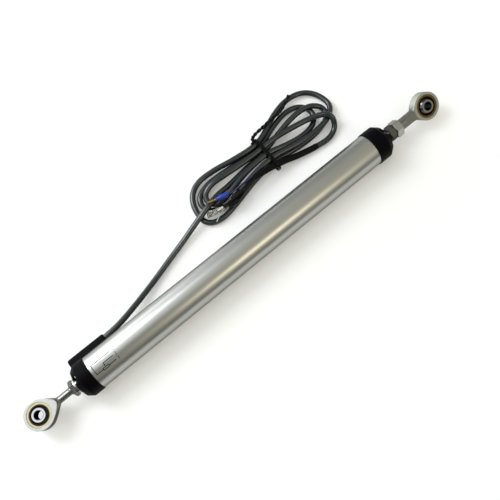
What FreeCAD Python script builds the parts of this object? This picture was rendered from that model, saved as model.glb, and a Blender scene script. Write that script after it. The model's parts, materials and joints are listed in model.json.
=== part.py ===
import FreeCAD, Part
import math
import os

V = FreeCAD.Vector
os.makedirs("parts", exist_ok=True)

# Driving dimensions in mm. The origin is the centre of the rear ball, +X runs
# along the sensor to the front eye and +Z is up. The sensor lies on its caps.
TUBE_R = 12.0
TUBE_BORE_R = 10.0
CAP_R = 12.5
FLOOR = -CAP_R
REAR_FACE = 42.0          # inner face of the rear cap
FRONT_FACE = 283.0        # inner face of the front cap
GASKET_T = 0.6
STROKE = 150.0            # electrical and mechanical travel of the rod
OVER = 1.0                # how far a cutting shape reaches past the face it cuts
FIT = 0.1                 # gap between pieces that are pushed together

# Rod ends with 6 mm balls; lengths along the shank run from the eye's centre
EYE_R = 10.0
EYE_W = 6.75
RACE_R = 8.2
RACE_W = 6.2
BALL_R = 6.35
BALL_W = 9.0
BORE_R = 3.0
BALL_GAP = 0.05
NECK_X0 = 6.0             # the neck starts inside the head
NECK_SWELL = 0.2
FLANK_IN = 0.8            # rounding of the flanks' corners at the head and at the neck
FLANK_OUT = 0.3
REAR_FLANK = 55.0         # degrees round the head where its straight flank starts
REAR_NECK_R = 2.4         # plain neck, as thick as the thread's core
REAR_NECK_RUN = 1.2       # taper from the head to the neck
REAR_THREAD_X0 = 23.8
REAR_SHANK_X1 = 40.0
FRONT_EYE_X = 335.0
FRONT_EYE_ROLL = 34.0     # degrees about X, as the rod happens to stand
FRONT_FLANK = 50.0
FRONT_NECK_R = 4.1
FRONT_NECK_RUN = 3.0
FRONT_NECK_X1 = 23.6
FLAT_HALF = 3.1           # half the thickness over the two flats milled on the front shank
FLAT_X1 = 19.6
COLLAR_X0 = 24.2
COLLAR_X1 = 30.0
COLLAR_AF = 11.0
COLLAR_EDGE = 0.6
COLLAR_TURN = 30.0
COLLAR_ROOT_X = 24.4
COLLAR_ROOT_R = 5.2
TAPPED_X0 = 20.4          # bottom of the tapped hole in the front shank

# Rod, threads and nuts
ROD_R = 3.0
ROD_GAP = 0.04
THREAD_R = 2.95
THREAD_EDGE = 0.6
THREAD_IN = 9.0           # how far the rod is screwed into the front rod end
NUT_BORE_R = 3.0
NUT_AF = 10.0
NUT_FACE = 0.97           # chamfered face against the flats
REAR_NUT_X = 24.9
REAR_NUT_T = 3.2
REAR_NUT_EDGE = 0.7
REAR_NUT_TURN = 12.0
FRONT_NUT_X = 300.0
FRONT_NUT_T = 5.0
FRONT_NUT_EDGE = 0.9
FRONT_NUT_TURN = 22.0

# Cap screws, three on each end, in screw ports of the tube
SCREW_CIRCLE = 8.9
SCREW_SHANK_R = 1.2
SCREW_HOLE_R = 1.4
SCREW_HEAD_R = 2.3
SCREW_HEAD_H = 1.8
SCREW_LENGTH = 17.0
RECESS_DEEP = 0.9
RECESS_LONG = 1.3
RECESS_THIN = 0.3
POCKET_R = 2.75
POCKET_LONG = 18.0
PORT_R = 2.3
PORT_HOLE_R = 1.25
PORT_LAP = 0.5            # how far ports and rails sink into the tube's wall
SCREW_ROLL = -15.0        # degrees about X that turn the port at the top toward +Y

# Rear cap, its threaded insert and the cable boss
CAP_EDGE = 1.2            # rounding of the caps' outer edges
REAR_BARREL = 7.6
REAR_RIM_X = 30.8         # where the chamfer ends and the shallow cone to the hub begins
REAR_RIM_R = 9.7
REAR_HUB_X = 29.4
REAR_HUB_R = 5.6
REAR_SEAT = 34.6          # floor of the rear screw pockets
REAR_SLOT_X = 31.8        # floor of the slots from the screw pockets to the hub
INSERT_R = 4.6
INSERT_FLANGE_R = 5.3
INSERT_X0 = REAR_NUT_X + REAR_NUT_T
INSERT_X1 = 39.0
CAVITY_R = 6.4
CABLE_R = 2.1
BEND_SHARE = 0.45         # share of a straight run that each bend at its end may take
BOSS_ANGLE = -12.6        # degrees above the horizontal on the +Y side
BOSS_AXIS_R = 14.5
BOSS_R = 3.4
BOSS_ROOT = 7.0
BOSS_EDGE = 1.1
BOSS_X0 = 32.4
BOSS_X1 = 61.0
CABLE_HOLE_X0 = 39.0
SEAL_X0 = 54.0
SEAL_R = 2.8
PASSAGE_X = 40.0
PASSAGE_Y0 = 4.0
PASSAGE_R = 1.8

# Front cap with the rod's bush and seal
FRONT_BARREL = 9.3
FRONT_RIM_X = 296.3
FRONT_RIM_R = 9.5
FRONT_HUB_X = 299.0
FRONT_HUB_R = 4.8
FRONT_SEAT = 291.0
FRONT_SLOT_X = 296.0
SPIGOT_X0 = 272.0
SPIGOT_R = 6.2
ROD_HOLE_R = 3.4
BUSH_R = 4.5
BUSH_X0 = 273.5
BUSH_X1 = 291.6
WIPER_X0 = 292.2
WIPER_X1 = 295.4
WIPER_R = 4.1
WIPER_GROOVE = 0.5        # air behind the seal's lip
WIPER_GROOVE_X = 293.8
LIP_X0 = 295.2
LIP_X1 = 295.8
LIP_EDGE = 0.8
STOP_T = 1.5
STOP_R0 = 3.6
STOP_R1 = 5.8

# Inner works, drawn with the board at the bottom and rolled with the screw ports
CARRIAGE_X0 = 78.0
CARRIAGE_X1 = 102.0
CARRIAGE_R = 5.8
CARRIAGE_GAP = 0.35
FIN_HALF = 2.4
FIN_LEAN = 60.0
FOOT_Z = -5.6
FOOT_HALF = 4.4
FOOT_INSET = 2.0
CONTACT_X = 83.5          # where the wipers touch the tracks with the rod pushed in
SPRING_W = 2.4
SPRING_Y = (-3.5, 1.1)
TRACK_X0 = CONTACT_X - 11.0
TRACK_X1 = CONTACT_X + STROKE + 24.0
TRACK_T = 0.15
TRACK_IN = 0.7
TRACK_OUT = 3.9
BOARD_X0 = 50.0
BOARD_X1 = TRACK_X1 + 4.0
BOARD_TOP = -6.8
BOARD_T = 1.2
BOARD_HALF = 5.7
RAIL_W = 0.95
RAIL_H = 0.9
PIN_X = 54.0
PIN_Y = (-3.0, 0.0, 3.0)
PIN_R = 0.5
PIN_H = 2.6
LEAD_R = 0.45
CLIP_T = 0.8
CLIP_GAP = 0.2
CLIP_R0 = 2.4
CLIP_R1 = 4.6
CLIP_SLOT = 1.6
ROD_X0 = CARRIAGE_X0 - 2.6

# Free end of the cable and its tie
SLEEVE_R = 2.35
CORE_R = 0.75
CORE_GAP = 0.05           # air between the sleeve's end and the cores' first face
CORE_SPREAD = 1.05
CORE_RUN = 5.0
FERRULE_R = 1.6
FERRULE_PIN_R = 0.7
PIGTAIL_R = 0.85
TIE_X0 = 226.5
TIE_X1 = 228.5
TIE_Y0 = 32.4             # inside of the tie's band
TIE_Y1 = 57.9
TIE_Z0 = FLOOR + 1.05
TIE_Z1 = FLOOR + 10.3
TIE_T = 0.9
TIE_TAIL_R = 0.6
HANK_FAR = 100.0          # a width past the far side of the hank

parts = {}


def cyl(x0, x1, r, y=0.0, z=0.0):
    return Part.makeCylinder(r, x1 - x0, V(x0, y, z), V(1, 0, 0))


def ring(x0, x1, ri, ro):
    return cyl(x0, x1, ro).cut(cyl(x0 - OVER, x1 + OVER, ri))


def box(x0, x1, y0, y1, z0, z1):
    return Part.makeBox(x1 - x0, y1 - y0, z1 - z0, V(x0, y0, z0))


def upright(z0, z1, r):
    return Part.makeCylinder(r, z1 - z0, V(0, 0, z0), V(0, 0, 1))


def revolve(section):
    """A full turn about X of a wire, or of a closed list of (x, radius) corners."""
    wire = section
    if isinstance(section, list):
        wire = Part.makePolygon([V(x, 0, r) for x, r in section + section[:1]])
    return Part.Face(wire).revolve(V(0, 0, 0), V(1, 0, 0), 360)


def turned(shape, degrees):
    out = shape.copy()
    out.rotate(V(0, 0, 0), V(1, 0, 0), degrees)
    return out


def hexagon(x0, x1, across_flats, edge, turn):
    corner = across_flats / math.sqrt(3.0)
    points = []
    for k in range(7):
        a = math.radians(60 * k + turn)
        points.append(V(x0, corner * math.cos(a), corner * math.sin(a)))
    prism = Part.Face(Part.makePolygon(points)).extrude(V(x1 - x0, 0, 0))
    flat = across_flats / 2.0 * NUT_FACE
    limit = revolve([(x0, 0), (x0, flat), (x0 + edge, corner), (x1 - edge, corner), (x1, flat), (x1, 0)])
    return prism.common(limit)


def bent_tube(points, radius):
    """A round tube of straight runs joined by tangent arcs; also its length and least bend radius."""
    pts = [V(*p) for p in points]
    edges = []
    last = pts[0]
    length = 0.0
    least = 1e9
    for i in range(1, len(pts) - 1):
        a = pts[i] - pts[i - 1]
        b = pts[i + 1] - pts[i]
        cut = BEND_SHARE * min(a.Length, b.Length)
        turn = a.getAngle(b)
        a.normalize()
        b.normalize()
        bend = cut / math.tan(turn / 2.0)
        least = min(least, bend)
        start = pts[i] - a * cut
        stop = pts[i] + b * cut
        side = b - a
        side.normalize()
        middle = pts[i] + side * (bend / math.cos(turn / 2.0) - bend)
        edges.append(Part.makeLine(last, start))
        edges.append(Part.Arc(start, middle, stop).toShape())
        length += (start - last).Length + bend * turn
        last = stop
    edges.append(Part.makeLine(last, pts[-1]))
    length += (pts[-1] - last).Length
    ring_wire = Part.Wire([Part.makeCircle(radius, pts[0], pts[1] - pts[0])])
    solid = Part.Wire(edges).makePipeShell([ring_wire], True, False)
    return solid, length, least


def check_tube(name, solid, radius, length, least):
    share = solid.Volume / (math.pi * radius * radius * length)
    print(name, "length", round(length, 1), "volume share", round(share, 4),
          "least bend", round(least / (2 * radius), 1), "diameters")


def port_centres():
    out = []
    for k in range(3):
        a = math.radians(120.0 * k)
        out.append((SCREW_CIRCLE * math.sin(a), SCREW_CIRCLE * math.cos(a)))
    return out


# Rod ends: an eye on a shank, drawn at the origin with the shank along +X

def eye_head(flank_degrees, neck_r):
    """The round plate with two straight flanks that run to the neck; also where they end."""
    a = math.radians(flank_degrees)
    half = EYE_W / 2.0
    tx = EYE_R * math.cos(a)
    ty = EYE_R * math.sin(a)
    reach = tx + (ty - neck_r) * math.tan(a)
    corners = [(tx, ty), (reach, neck_r), (reach, -neck_r), (tx, -ty), (tx, ty)]
    outline = [V(x, y, -half) for x, y in corners]
    flanks = Part.Face(Part.makePolygon(outline)).extrude(V(0, 0, EYE_W))
    rounding = revolve([(0, 0), (0, EYE_R + OVER), (tx, EYE_R - FLANK_IN), (reach, neck_r + FLANK_OUT),
                        (reach, 0)])
    return upright(-half, half, EYE_R).fuse(flanks.common(rounding)), reach


def eye_hole():
    return upright(-EYE_W / 2.0 - OVER, EYE_W / 2.0 + OVER, RACE_R)


def race():
    return upright(-RACE_W / 2.0, RACE_W / 2.0, RACE_R).cut(Part.makeSphere(BALL_R + BALL_GAP))


def ball():
    half = BALL_W / 2.0
    bore = upright(-half - OVER, half + OVER, BORE_R)
    return Part.makeSphere(BALL_R).common(upright(-half, half, BALL_R)).cut(bore)


head, reach = eye_head(REAR_FLANK, REAR_NECK_R)
swell = REAR_NECK_R + NECK_SWELL
neck = revolve([(NECK_X0, 0), (NECK_X0, swell), (reach, swell), (reach + REAR_NECK_RUN, REAR_NECK_R),
                (REAR_THREAD_X0 - THREAD_EDGE, REAR_NECK_R), (REAR_THREAD_X0, THREAD_R), (REAR_THREAD_X0, 0)])
shank = cyl(REAR_THREAD_X0, REAR_SHANK_X1, THREAD_R)
parts["rear_rod_end"] = head.fuse(neck).fuse(shank).cut(eye_hole()).removeSplitter()
parts["rear_race"] = race()
parts["rear_ball"] = ball()
nut = hexagon(REAR_NUT_X, REAR_NUT_X + REAR_NUT_T, NUT_AF, REAR_NUT_EDGE, REAR_NUT_TURN)
parts["rear_jam_nut"] = nut.cut(cyl(REAR_NUT_X - OVER, REAR_NUT_X + REAR_NUT_T + OVER, NUT_BORE_R))

head, reach = eye_head(FRONT_FLANK, FRONT_NECK_R)
swell = FRONT_NECK_R + NECK_SWELL
neck = revolve([(NECK_X0, 0), (NECK_X0, swell), (reach, swell), (reach + FRONT_NECK_RUN, FRONT_NECK_R),
                (FRONT_NECK_X1, FRONT_NECK_R), (COLLAR_ROOT_X, COLLAR_ROOT_R), (COLLAR_ROOT_X, 0)])
for side in (-1, 1):
    low, high = sorted((side * FLAT_HALF, side * EYE_R))
    neck = neck.cut(box(0, FLAT_X1, -EYE_R, EYE_R, low, high))
collar = hexagon(COLLAR_X0, COLLAR_X1, COLLAR_AF, COLLAR_EDGE, COLLAR_TURN)
front = head.fuse(neck).fuse(collar).cut(cyl(TAPPED_X0, COLLAR_X1 + OVER, NUT_BORE_R)).cut(eye_hole())
front = front.removeSplitter()


def to_front(shape):
    out = shape.copy()
    out.rotate(V(0, 0, 0), V(0, 0, 1), 180)
    out.rotate(V(0, 0, 0), V(1, 0, 0), FRONT_EYE_ROLL)
    out.translate(V(FRONT_EYE_X, 0, 0))
    return out


parts["front_rod_end"] = to_front(front)
parts["front_race"] = to_front(race())
parts["front_ball"] = to_front(ball())
nut = hexagon(FRONT_NUT_X, FRONT_NUT_X + FRONT_NUT_T, NUT_AF, FRONT_NUT_EDGE, FRONT_NUT_TURN)
parts["front_jam_nut"] = nut.cut(cyl(FRONT_NUT_X - OVER, FRONT_NUT_X + FRONT_NUT_T + OVER, NUT_BORE_R))


# Caps: moulded, with a chamfered rim and screw pockets; the rear one carries the cable boss

def cap_body(face_x, barrel_x, rim_x, rim_r, hub_x, hub_r):
    """A cap without its holes: a barrel, a chamfer and a shallow cone to the hub, with rounded edges."""
    corners = [V(face_x, 0, CAP_R), V(barrel_x, 0, CAP_R), V(rim_x, 0, rim_r), V(hub_x, 0, hub_r)]
    edges = [Part.makeLine(V(face_x, 0, 0), corners[0])]
    last = corners[0]
    for before, corner, after in zip(corners[:-2], corners[1:-1], corners[2:]):
        a = corner - before
        b = after - corner
        turn = a.getAngle(b)
        a.normalize()
        b.normalize()
        cut = CAP_EDGE * math.tan(turn / 2.0)
        side = b - a
        side.normalize()
        middle = corner + side * (CAP_EDGE / math.cos(turn / 2.0) - CAP_EDGE)
        edges.append(Part.makeLine(last, corner - a * cut))
        edges.append(Part.Arc(corner - a * cut, middle, corner + b * cut).toShape())
        last = corner + b * cut
    edges += [Part.makeLine(last, corners[-1]), Part.makeLine(corners[-1], V(hub_x, 0, 0)),
              Part.makeLine(V(hub_x, 0, 0), V(face_x, 0, 0))]
    return revolve(Part.Wire(edges))


def screw_slots(x0, x1):
    """The slots that open the screw pockets toward the hub."""
    one = box(x0, x1, -POCKET_R, POCKET_R, 0, SCREW_CIRCLE)
    return [turned(one, SCREW_ROLL + 120.0 * k) for k in range(3)]


angle = math.radians(BOSS_ANGLE)
boss_y = BOSS_AXIS_R * math.cos(angle)
boss_z = BOSS_AXIS_R * math.sin(angle)
rear = cap_body(REAR_FACE, REAR_FACE - REAR_BARREL, REAR_RIM_X, REAR_RIM_R, REAR_HUB_X, REAR_HUB_R)
boss = cyl(BOSS_X0, BOSS_X1, BOSS_R, BOSS_AXIS_R, 0)
boss = boss.fuse(box(BOSS_X0, BOSS_X1, BOSS_ROOT, BOSS_AXIS_R, -BOSS_R, BOSS_R)).removeSplitter()
end_edges = []
for edge in boss.Edges:
    flat_in_x = abs(edge.BoundBox.XMin - edge.BoundBox.XMax) < 1e-6
    if flat_in_x and edge.BoundBox.YMax > BOSS_ROOT + OVER:
        end_edges.append(edge)
boss = turned(boss.makeFillet(BOSS_EDGE, end_edges), BOSS_ANGLE)
boss = boss.cut(cyl(REAR_FACE, BOSS_X1 + OVER, TUBE_R + FIT))
rear = rear.fuse(boss).removeSplitter()
rear = rear.cut(cyl(REAR_HUB_X - OVER, INSERT_X1, INSERT_R))
rear = rear.cut(cyl(INSERT_X1, REAR_FACE + OVER, CAVITY_R))
for y, z in port_centres():
    pocket = cyl(REAR_SEAT - POCKET_LONG, REAR_SEAT, POCKET_R, y, z)
    hole = cyl(REAR_SEAT - OVER, REAR_FACE + OVER, SCREW_HOLE_R, y, z)
    rear = rear.cut(turned(pocket, SCREW_ROLL)).cut(turned(hole, SCREW_ROLL))
for slot in screw_slots(REAR_HUB_X - OVER, REAR_SLOT_X):
    rear = rear.cut(slot)
rear = rear.cut(cyl(CABLE_HOLE_X0, BOSS_X1 + OVER, CABLE_R + FIT, boss_y, boss_z))
rear = rear.cut(cyl(SEAL_X0, BOSS_X1 + OVER, SEAL_R, boss_y, boss_z))
passage = Part.makeCylinder(PASSAGE_R, BOSS_AXIS_R - PASSAGE_Y0, V(PASSAGE_X, PASSAGE_Y0, 0), V(0, 1, 0))
rear = rear.cut(turned(passage, BOSS_ANGLE))
parts["rear_cap"] = rear.removeSplitter()
insert = cyl(INSERT_X0, REAR_HUB_X, INSERT_FLANGE_R).fuse(cyl(REAR_HUB_X, INSERT_X1, INSERT_R))
insert = insert.cut(cyl(INSERT_X0 - OVER, INSERT_X1 + OVER, NUT_BORE_R))
parts["rear_thread_insert"] = insert.removeSplitter()
seal = cyl(SEAL_X0, BOSS_X1, SEAL_R, boss_y, boss_z)
seal = seal.cut(cyl(SEAL_X0 - OVER, BOSS_X1 + OVER, CABLE_R, boss_y, boss_z))
parts["cable_seal"] = seal.cut(cyl(SEAL_X0 - OVER, BOSS_X1 + OVER, TUBE_R + FIT))

# Front cap: the same cap with a spigot for the rod bush and a seat for the seal
front_cap = cap_body(FRONT_FACE, FRONT_FACE + FRONT_BARREL, FRONT_RIM_X, FRONT_RIM_R, FRONT_HUB_X,
                     FRONT_HUB_R)
front_cap = front_cap.fuse(cyl(SPIGOT_X0, FRONT_FACE + OVER, SPIGOT_R)).removeSplitter()
front_cap = front_cap.cut(cyl(SPIGOT_X0 - OVER, FRONT_HUB_X + OVER, ROD_HOLE_R))
front_cap = front_cap.cut(cyl(SPIGOT_X0 - OVER, BUSH_X1, BUSH_R))
front_cap = front_cap.cut(cyl(WIPER_X0, FRONT_HUB_X + OVER, WIPER_R))
for y, z in port_centres():
    pocket = cyl(FRONT_SEAT, FRONT_SEAT + POCKET_LONG, POCKET_R, y, z)
    hole = cyl(FRONT_FACE - OVER, FRONT_SEAT + OVER, SCREW_HOLE_R, y, z)
    front_cap = front_cap.cut(turned(pocket, SCREW_ROLL)).cut(turned(hole, SCREW_ROLL))
for slot in screw_slots(FRONT_SLOT_X, FRONT_HUB_X + OVER):
    front_cap = front_cap.cut(slot)
parts["front_cap"] = front_cap.removeSplitter()
parts["rod_guide_bush"] = ring(BUSH_X0, BUSH_X1, ROD_R + ROD_GAP, BUSH_R)
lip = ROD_R + ROD_GAP
parts["rod_wiper_seal"] = revolve([(WIPER_X0, WIPER_R), (WIPER_X0, lip + WIPER_GROOVE),
                                   (WIPER_GROOVE_X, lip + WIPER_GROOVE), (LIP_X0, lip), (LIP_X1, lip),
                                   (WIPER_X1, lip + LIP_EDGE), (WIPER_X1, WIPER_R)])
parts["front_stop_ring"] = ring(SPIGOT_X0 - STOP_T, SPIGOT_X0, STOP_R0, STOP_R1)


def gasket(x0):
    flat = ring(x0, x0 + GASKET_T, CAVITY_R + FIT, TUBE_R - FIT)
    for y, z in port_centres():
        flat = flat.cut(turned(cyl(x0 - OVER, x0 + GASKET_T + OVER, SCREW_HOLE_R, y, z), SCREW_ROLL))
    return flat


parts["rear_gasket"] = gasket(REAR_FACE)
parts["front_gasket"] = gasket(FRONT_FACE - GASKET_T)


def screws(seat, outward):
    """Three pan head screws with a cross recess; outward is the side of the heads."""
    group = []
    tip = seat - outward * SCREW_LENGTH
    top = seat + outward * SCREW_HEAD_H
    cut0, cut1 = sorted((top - outward * RECESS_DEEP, top + outward * OVER))
    for y, z in port_centres():
        body = cyl(min(seat, top), max(seat, top), SCREW_HEAD_R, y, z)
        body = body.fuse(cyl(min(seat, tip), max(seat, tip), SCREW_SHANK_R, y, z))
        for across, up in ((RECESS_LONG, RECESS_THIN), (RECESS_THIN, RECESS_LONG)):
            body = body.cut(box(cut0, cut1, y - across, y + across, z - up, z + up))
        group.append(turned(body.removeSplitter(), SCREW_ROLL))
    return Part.makeCompound(group)


parts["rear_cap_screws"] = screws(REAR_SEAT, -1)
parts["front_cap_screws"] = screws(FRONT_SEAT, 1)

# Housing tube: an extrusion with three screw ports and a flat bed for the board
tube_x0 = REAR_FACE + GASKET_T
tube_x1 = FRONT_FACE - GASKET_T
bed = BOARD_TOP - BOARD_T
tube = ring(tube_x0, tube_x1, TUBE_BORE_R, TUBE_R)
inner = cyl(tube_x0, tube_x1, TUBE_BORE_R + PORT_LAP)
tube = tube.fuse(box(tube_x0, tube_x1, -TUBE_R, TUBE_R, -TUBE_R, bed).common(inner))
for side in (-1, 1):
    y0, y1 = sorted((side * (BOARD_HALF + FIT / 2.0), side * (BOARD_HALF + RAIL_W)))
    tube = tube.fuse(box(tube_x0, tube_x1, y0, y1, bed - OVER, bed + RAIL_H).common(inner))
for y, z in port_centres():
    tube = tube.fuse(cyl(tube_x0, tube_x1, PORT_R, y, z).common(inner))
tube = tube.removeSplitter()
for y, z in port_centres():
    tube = tube.cut(cyl(tube_x0 - OVER, tube_x1 + OVER, PORT_HOLE_R, y, z))
parts["housing_tube"] = turned(tube, SCREW_ROLL)

# Inner works on the board: tracks, terminals and the leads to the cable
track_top = BOARD_TOP + TRACK_T
inner_works = {}
inner_works["element_board"] = box(BOARD_X0, BOARD_X1, -BOARD_HALF, BOARD_HALF, bed, BOARD_TOP)
inner_works["resistive_track"] = box(TRACK_X0, TRACK_X1, -TRACK_OUT, -TRACK_IN, BOARD_TOP, track_top)
inner_works["collector_track"] = box(TRACK_X0, TRACK_X1, TRACK_IN, TRACK_OUT, BOARD_TOP, track_top)
pins = []
for y in PIN_Y:
    pins.append(Part.makeCylinder(PIN_R, PIN_H, V(PIN_X, y, BOARD_TOP), V(0, 0, 1)))
inner_works["terminal_pins"] = Part.makeCompound(pins)

# Wiper carriage: slides in the tube on two fins, carries the contact springs
carriage = cyl(CARRIAGE_X0, CARRIAGE_X1, CARRIAGE_R)
guide = cyl(CARRIAGE_X0, CARRIAGE_X1, TUBE_BORE_R - CARRIAGE_GAP)
for lean in (-FIN_LEAN, FIN_LEAN):
    fin = box(CARRIAGE_X0, CARRIAGE_X1, -FIN_HALF, FIN_HALF, 0, TUBE_R)
    carriage = carriage.fuse(turned(fin, lean).common(guide))
foot = box(CARRIAGE_X0 + FOOT_INSET, CARRIAGE_X1 - FOOT_INSET, -FOOT_HALF, FOOT_HALF, FOOT_Z, 0)
carriage = carriage.fuse(foot).removeSplitter()
carriage = carriage.cut(box(CARRIAGE_X0, CARRIAGE_X1, -CARRIAGE_R, CARRIAGE_R, FOOT_Z - OVER, FOOT_Z))
carriage = carriage.cut(cyl(CARRIAGE_X0 - OVER, CARRIAGE_X1 + OVER, ROD_R + ROD_GAP))
inner_works["wiper_carriage"] = carriage
springs = []
for y in SPRING_Y:
    side = [(13.5, FOOT_Z), (13.5, FOOT_Z - 0.2), (4.5, FOOT_Z - 0.2), (0, track_top + 0.1),
            (-1.2, track_top + 0.4), (-1.1, track_top + 0.6), (-0.1, track_top + 0.35), (4.3, FOOT_Z)]
    face = Part.Face(Part.makePolygon([V(CONTACT_X + x, y, z) for x, z in side + side[:1]]))
    springs.append(face.extrude(V(0, SPRING_W, 0)))
inner_works["wiper_springs"] = Part.makeCompound(springs)
for name, shape in inner_works.items():
    parts[name] = turned(shape, SCREW_ROLL)

port_turn = FreeCAD.Rotation(V(1, 0, 0), SCREW_ROLL)
boss_turn = FreeCAD.Rotation(V(1, 0, 0), BOSS_ANGLE)
leads = []
for k, y in enumerate(PIN_Y):
    on_board = [V(PIN_X, y, BOARD_TOP + PIN_H), V(PIN_X - 3.0, y * 0.8, -2.2 + 0.1 * k),
                V(PIN_X - 8.0, y * 0.6, -1.0)]
    to_boss = [V(PASSAGE_X + 1.0 - 0.1 * k, PASSAGE_Y0 - 0.4, 1.15 * (k - 1)),
               V(PASSAGE_X, 7.6, 0.95 * (k - 1))]
    route = [tuple(port_turn.multVec(p)) for p in on_board] + [tuple(boss_turn.multVec(p)) for p in to_boss]
    wire, length, least = bent_tube(route, LEAD_R)
    leads.append(wire)
parts["inner_leads"] = Part.makeCompound(leads)

# Push rod with two retaining clips that hold the carriage between them
rod_x1 = FRONT_EYE_X - COLLAR_X1 + THREAD_IN
thread_x0 = FRONT_NUT_X - THREAD_EDGE
rod = cyl(ROD_X0, thread_x0, ROD_R).fuse(cyl(thread_x0, rod_x1, THREAD_R)).removeSplitter()
clips = []
for x in (CARRIAGE_X0 - CLIP_GAP - CLIP_T, CARRIAGE_X1 + CLIP_GAP):
    rod = rod.cut(ring(x, x + CLIP_T, CLIP_R0, ROD_R + OVER))
    slot = box(x - OVER, x + CLIP_T + OVER, -CLIP_SLOT, CLIP_SLOT, 0, CLIP_R1 + OVER)
    clips.append(ring(x, x + CLIP_T, CLIP_R0, CLIP_R1).cut(slot))
parts["push_rod"] = rod
parts["rod_clips"] = Part.makeCompound(clips)

# Cable: the lead from the boss to the hank, then the tied hank as one solid
lead_route = [(46.0, boss_y, boss_z), (68.0, boss_y, boss_z), (89.0, 19.4, -6.6), (108.0, 25.0, -9.6),
              (126.0, 30.4, -10.0), (144.0, 34.8, -8.6), (161.0, 38.6, -6.2)]
lead, length, least = bent_tube(lead_route, CABLE_R)
check_tube("cable_lead", lead, CABLE_R, length, least)
parts["cable_lead"] = lead

hank_plan = [(159.4, 40), (165, 55.4), (183, 64.6), (207, 59.6), (228, 57.6), (246, 65.6), (266, 73),
             (282, 66), (290.6, 50), (284.8, 36), (276, 27.2), (264, 25.6), (246, 28.6), (228, 34.2),
             (206, 34.6), (186, 29.2), (172, 27.2), (162.6, 31.6)]
hank_side = [(150, 0), (150, 5.8), (200, 5.8), (216, 9.0), (244, 9.0), (262, 8.6), (300, 8.6), (300, 0)]
curve = Part.BSplineCurve()
curve.interpolate(Points=[V(x, y, FLOOR) for x, y in hank_plan], PeriodicFlag=True)
hank = Part.Face(Part.Wire([curve.toShape()])).extrude(V(0, 0, CAP_R))
corners = [V(x, 0, FLOOR + h) for x, h in hank_side + hank_side[:1]]
hank = hank.common(Part.Face(Part.makePolygon(corners)).extrude(V(0, HANK_FAR, 0)))

# The free end of the cable: a sleeve, three cores with ferrules and the twisted shield
sleeve_route = [(260.0, 28.8, FLOOR + 2.4), (246.0, 31.4, FLOOR + 3.4), (233.0, 34.4, FLOOR + 6.2),
                (220.0, 36.4, FLOOR + 8.8), (207.0, 37.0, FLOOR + 10.6)]
sleeve, length, least = bent_tube(sleeve_route, SLEEVE_R)
check_tube("cable_end_sleeve", sleeve, SLEEVE_R, length, least)
parts["cable_end_sleeve"] = sleeve

sleeve_end = V(*sleeve_route[-1])
aim = sleeve_end - V(*sleeve_route[-2])
aim.normalize()
across = aim.cross(V(0, 0, 1))
across.normalize()
rise = across.cross(aim)


def core_start(side, up):
    """The first two points of a core: beside the sleeve's axis, running straight out of the sleeve."""
    start = sleeve_end + aim * CORE_GAP + across * (side * CORE_SPREAD) + rise * (up * CORE_SPREAD)
    return [tuple(start), tuple(start + aim * CORE_RUN)]


# Each core: its place in the sleeve, where its ferrule starts, the ferrule's slope in plan, and two lengths
core_ends = [((1, 1), (186.6, 39.2, FLOOR + 10.0), 0.30, 9.2, 6.8),
             ((-1, -1), (190.0, 32.4, FLOOR + 7.9), 0.05, 8.6, 7.0),
             ((1, -1), (195.0, 35.7, FLOOR + 8.4), 0.02, 8.6, 7.0)]
cores = []
ferrules = []
ferrule_pins = []
for place, end, slope, barrel, pin in core_ends:
    core, length, least = bent_tube(core_start(*place) + [end], CORE_R)
    cores.append(core)
    along = V(-1.0, slope, 0)
    along.normalize()
    ferrules.append(Part.makeCylinder(FERRULE_R, barrel, V(*end), along))
    ferrule_pins.append(Part.makeCylinder(FERRULE_PIN_R, pin, V(*end) + along * barrel, along))
parts["core_wires"] = Part.makeCompound(cores)
parts["core_ferrules"] = Part.makeCompound(ferrules)
parts["ferrule_pins"] = Part.makeCompound(ferrule_pins)
pigtail_route = core_start(-1, 1) + [(190.0, 33.9, FLOOR + 11.0), (180.0, 33.9, FLOOR + 10.3),
                                     (173.0, 35.4, FLOOR + 8.0), (166.0, 37.8, FLOOR + 6.9)]
pigtail, length, least = bent_tube(pigtail_route, PIGTAIL_R)
check_tube("shield_pigtail", pigtail, PIGTAIL_R, length, least)
parts["shield_pigtail"] = pigtail

# The tie: a band pressed round the waist of the hank and its twisted end
band_inner = box(TIE_X0 - OVER, TIE_X1 + OVER, TIE_Y0, TIE_Y1, TIE_Z0, TIE_Z1)
band_outer = box(TIE_X0, TIE_X1, TIE_Y0 - TIE_T, TIE_Y1 + TIE_T, TIE_Z0 - TIE_T, TIE_Z1 + TIE_T)
tail_route = [(227.6, 58.3, FLOOR + 8.4), (224.8, 59.8, FLOOR + 8.6), (228.2, 62.4, FLOOR + 8.8),
              (237.6, 62.9, FLOOR + 9.2), (247.0, 64.2, FLOOR + 8.2), (255.0, 65.0, FLOOR + 6.8),
              (262.0, 67.6, FLOOR + 5.9), (269.4, 71.4, FLOOR + 5.6)]
tail, length, least = bent_tube(tail_route, TIE_TAIL_R)
check_tube("twist_tie", tail, TIE_TAIL_R, length, least)
parts["twist_tie"] = band_outer.cut(band_inner).fuse(tail).removeSplitter()
waist = box(TIE_X0, TIE_X1, 0, HANK_FAR, FLOOR - OVER, 0).cut(band_inner)
parts["cable_hank"] = hank.cut(sleeve).cut(tail).cut(waist)

for name in sorted(parts):
    shape = parts[name]
    bb = shape.BoundBox
    print(name, "solids", len(shape.Solids), "valid", shape.isValid(), "volume", round(shape.Volume, 1),
          "x", round(bb.XMin, 1), round(bb.XMax, 1), "y", round(bb.YMin, 1), round(bb.YMax, 1),
          "z", round(bb.ZMin, 1), round(bb.ZMax, 1))
    shape.exportStep("parts/" + name + ".step")
print("nodes", len(parts))
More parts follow.
